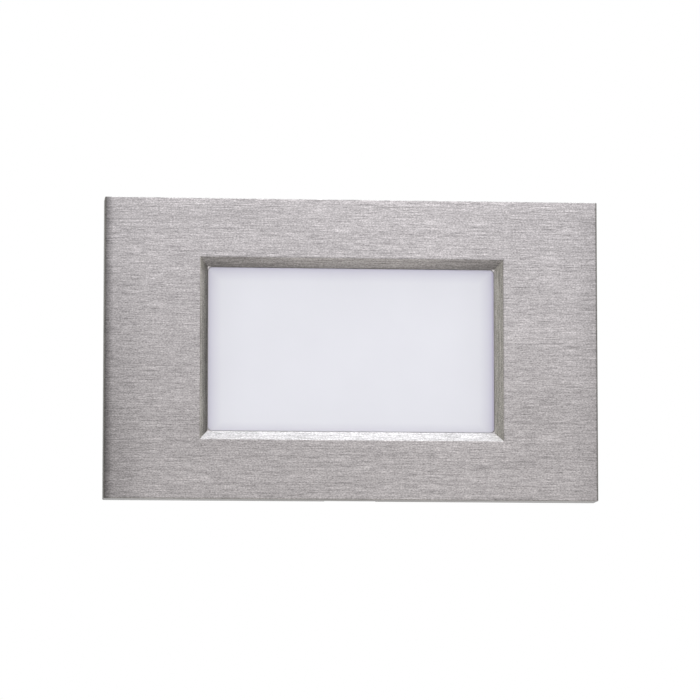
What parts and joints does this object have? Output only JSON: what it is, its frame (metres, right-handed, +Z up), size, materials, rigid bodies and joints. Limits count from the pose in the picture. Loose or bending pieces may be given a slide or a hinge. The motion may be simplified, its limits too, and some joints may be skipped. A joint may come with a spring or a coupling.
{
  "type": "recessed step light",
  "caption": "Rectangular recessed step light: brushed metal plate with a bevelled window and opal lens, on a yoke that screws to a wall box, with LED module and driver behind.",
  "frame": {"origin": "middle of the yoke on the wall surface, half way between the two box screws", "axes": "+X to the right seen from the room, +Y into the wall, +Z up; the light faces -Y"},
  "size_m": [0.115, 0.0446, 0.07],
  "materials": {
    "brushed_nickel": "brushed satin nickel, grain along X",
    "opal_lens": "opal, satin",
    "silicone": "matte grey silicone",
    "foam": "closed-cell foam",
    "zinc_steel": "zinc plated, satin",
    "screw_steel": "plated, semi-gloss",
    "magnet_nickel": "nickel plated",
    "cast_aluminium": "die-cast, fine matte grain",
    "reflector_white": "satin white",
    "led_board_white": "white solder mask on aluminium",
    "led_phosphor": "silicone phosphor",
    "thermal_pad": "soft matte pad",
    "link_brass": "bright",
    "white_nylon": "moulded nylon",
    "insulator_film": "insulating film",
    "case_plastic": "moulded, fine spark texture",
    "circuit_board": "solder mask over glass fibre",
    "ferrite": "sintered, matte",
    "winding_tape": "polyester tape",
    "capacitor_sleeve": "shrunk sleeve",
    "film_capacitor_box": "moulded box",
    "copper_winding": "enamelled copper",
    "fuse_body": "moulded",
    "varistor_blue": "epoxy coated",
    "chip_black": "moulded epoxy",
    "terminal_grey": "moulded polyamide",
    "contact_tin": "tinned spring",
    "button_orange": "moulded"
  },
  "bodies": {
    "module": {"mounting_yoke": "zinc_steel", "yoke_tab_screws": "screw_steel", "box_screws": "screw_steel", "heat_sink_frame": "cast_aluminium", "reflector": "reflector_white", "led_board": "led_board_white", "led_packages": "led_phosphor", "led_board_screws": "screw_steel", "thermal_pad": "thermal_pad", "link_pins": "link_brass", "link_bushing": "white_nylon", "insulator_sheet": "insulator_film", "case_seal": "silicone", "driver_case": "case_plastic", "case_screws": "screw_steel", "driver_board": "circuit_board", "transformer_core": "ferrite", "transformer_winding": "winding_tape", "electrolytic_capacitors": "capacitor_sleeve", "film_capacitor": "film_capacitor_box", "choke": "copper_winding", "fuse": "fuse_body", "varistor": "varistor_blue", "bridge_rectifier": "chip_black", "driver_chip": "chip_black", "terminal_block": "terminal_grey", "terminal_contacts": "contact_tin"},
    "front": {"faceplate": "brushed_nickel", "lens": "opal_lens", "lens_gasket": "silicone", "lens_retainer": "zinc_steel", "retainer_screws": "screw_steel", "magnets": "magnet_nickel", "wall_gasket": "foam"},
    "button_1": {"release_button_1": "button_orange"},
    "button_2": {"release_button_2": "button_orange"},
    "button_3": {"release_button_3": "button_orange"}
  },
  "joints": [
    {"name": "faceplate_pull", "type": "slide", "parent": "module", "child": "front", "axis": [0, -1, 0], "range_m": [0, 0.03]},
    {"name": "release_1", "type": "slide", "parent": "module", "child": "button_1", "axis": [0, -1, 0], "range_m": [0, 0.0012], "stiffness_N_per_m": 400},
    {"name": "release_2", "type": "slide", "parent": "module", "child": "button_2", "axis": [0, -1, 0], "range_m": [0, 0.0012], "stiffness_N_per_m": 400},
    {"name": "release_3", "type": "slide", "parent": "module", "child": "button_3", "axis": [0, -1, 0], "range_m": [0, 0.0012], "stiffness_N_per_m": 400}
  ]
}
